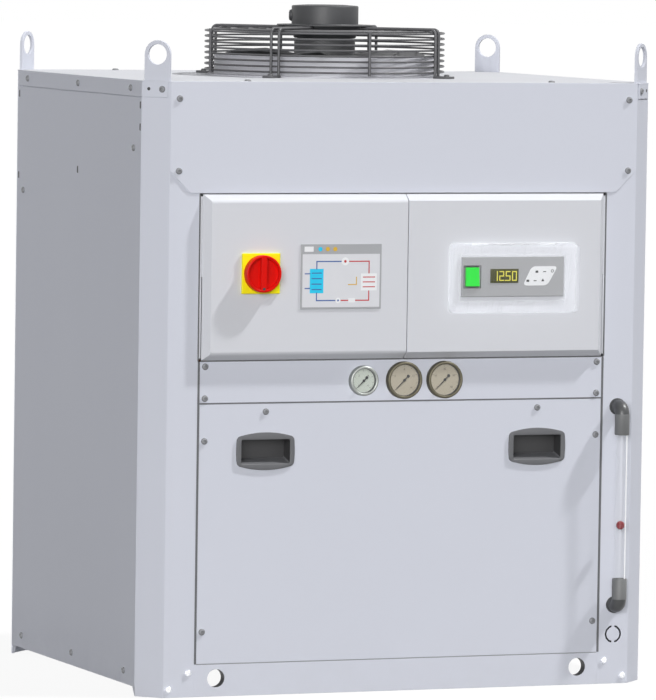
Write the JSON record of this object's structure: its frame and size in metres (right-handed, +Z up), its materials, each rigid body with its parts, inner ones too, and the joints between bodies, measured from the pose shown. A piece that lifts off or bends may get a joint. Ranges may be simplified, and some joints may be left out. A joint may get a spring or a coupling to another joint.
{
  "type": "industrial water chiller",
  "caption": "Free-standing industrial water chiller: light grey sheet-steel cabinet with a guarded roof fan, hinged control doors, pressure gauges and a water level tube.",
  "frame": {"origin": "centre of the footprint on the floor", "axes": "+X to the right as seen from the front, +Y from the front to the back, +Z up"},
  "size_m": [0.906, 0.7793, 1.126],
  "materials": {
    "cabinet_paint": "satin powder coat",
    "door_paint": "satin powder coat",
    "zinc_steel": "zinc plated sheet",
    "shroud_grey": "satin paint",
    "guard_wire": "black coated wire",
    "motor_black": "satin paint",
    "impeller_grey": "matt",
    "handle_plastic": "moulded",
    "switch_yellow": "moulded",
    "switch_red": "moulded",
    "switch_housing": "moulded",
    "mimic_face": "printed film",
    "controller_grey": "printed film",
    "frame_grey": "moulded",
    "clear_plastic": "clear",
    "rocker_green": "moulded",
    "gauge_metal": "satin bezel",
    "pointer_black": "matt",
    "elbow_plastic": "moulded",
    "float_red": "moulded",
    "screw_steel": "zinc plated",
    "bright_screws": "bright zinc",
    "gear_grey": "moulded",
    "compressor_black": "gloss paint",
    "coil_aluminium": "fin stock",
    "evaporator_steel": "pressed plate",
    "tank_plastic": "foam insulated",
    "pump_paint": "satin paint",
    "copper": "drawn tube",
    "brass_pipe": "machined",
    "gland_plastic": "moulded"
  },
  "bodies": {
    "cabinet": {"post_front_left": "cabinet_paint", "post_front_right": "cabinet_paint", "post_rear_left": "cabinet_paint", "post_rear_right": "cabinet_paint", "roof_panel": "cabinet_paint", "front_fascia": "cabinet_paint", "rear_fascia": "cabinet_paint", "side_panel_left": "cabinet_paint", "side_panel_right": "cabinet_paint", "gauge_strip": "cabinet_paint", "front_rail": "cabinet_paint", "rear_rail": "cabinet_paint", "rear_panel": "cabinet_paint", "rear_grille": "cabinet_paint", "lifting_lugs": "cabinet_paint", "base_pan": "zinc_steel", "control_box": "zinc_steel", "door_hinges": "zinc_steel", "fan_shroud": "shroud_grey", "guard_side_rings": "guard_wire", "guard_top_rings": "guard_wire", "guard_arms": "guard_wire", "fan_motor": "motor_black", "gauge_lenses": "clear_plastic", "level_tube": "clear_plastic", "gauge_cases": "gauge_metal", "level_elbows": "elbow_plastic", "panel_screws": "screw_steel", "base_screws": "bright_screws", "control_gear": "gear_grey", "compressor": "compressor_black", "condenser_coil": "coil_aluminium", "evaporator": "evaporator_steel", "water_tank": "tank_plastic", "pump": "pump_paint", "refrigerant_pipes": "copper", "water_pipes": "brass_pipe", "cable_gland": "gland_plastic"},
    "left_door": {"left_door": "door_paint", "switch_plate": "switch_yellow", "switch_body": "switch_housing", "mimic_plate": "mimic_face"},
    "switch_knob": {"switch_knob": "switch_red"},
    "right_door": {"right_door": "door_paint", "controller": "controller_grey", "cover_frame": "frame_grey"},
    "rocker": {"rocker": "rocker_green"},
    "clear_cover": {"clear_cover": "clear_plastic"},
    "service_panel": {"service_panel": "cabinet_paint", "handle_left": "handle_plastic", "handle_right": "handle_plastic", "service_screws": "screw_steel"},
    "impeller": {"impeller": "impeller_grey"},
    "float": {"float_ball": "float_red"},
    "pointer_left": {"pointer_left": "pointer_black"},
    "pointer_middle": {"pointer_middle": "pointer_black"},
    "pointer_right": {"pointer_right": "pointer_black"}
  },
  "joints": [
    {"name": "left_door_hinge", "type": "hinge", "parent": "cabinet", "child": "left_door", "pos_m": [-0.3579, -0.3495, 0.68625], "axis": [0, 0, -1], "range_deg": [0, 110]},
    {"name": "right_door_hinge", "type": "hinge", "parent": "cabinet", "child": "right_door", "pos_m": [0.3579, -0.3495, 0.68625], "axis": [0, 0, 1], "range_deg": [0, 110]},
    {"name": "main_switch_turn", "type": "hinge", "parent": "left_door", "child": "switch_knob", "pos_m": [-0.2597, -0.37, 0.69305], "axis": [0, 1, 0], "range_deg": [0, 90]},
    {"name": "rocker_tilt", "type": "hinge", "parent": "right_door", "child": "rocker", "pos_m": [0.1134, -0.3635, 0.68505], "axis": [1, 0, 0], "range_deg": [0, 12]},
    {"name": "cover_lift", "type": "hinge", "parent": "right_door", "child": "clear_cover", "pos_m": [0.187, -0.3695, 0.73885], "axis": [-1, 0, 0], "range_deg": [0, 100]},
    {"name": "service_panel_off", "type": "slide", "parent": "cabinet", "child": "service_panel", "axis": [0, -1, 0], "range_m": [0, 0.25]},
    {"name": "fan_spin", "type": "hinge", "parent": "cabinet", "child": "impeller", "pos_m": [0, 0.025, 1.05], "axis": [0, 0, 1], "continuous": true},
    {"name": "float_rise", "type": "slide", "parent": "cabinet", "child": "float", "axis": [0, 0, 1], "range_m": [-0.1015, 0.1635]},
    {"name": "pointer_left_turn", "type": "hinge", "parent": "cabinet", "child": "pointer_left", "pos_m": [-0.072, -0.355, 0.51475], "axis": [0, 1, 0], "range_deg": [0, 270]},
    {"name": "pointer_middle_turn", "type": "hinge", "parent": "cabinet", "child": "pointer_middle", "pos_m": [0, -0.355, 0.51475], "axis": [0, 1, 0], "range_deg": [0, 270]},
    {"name": "pointer_right_turn", "type": "hinge", "parent": "cabinet", "child": "pointer_right", "pos_m": [0.072, -0.355, 0.51475], "axis": [0, 1, 0], "range_deg": [0, 270]}
  ]
}
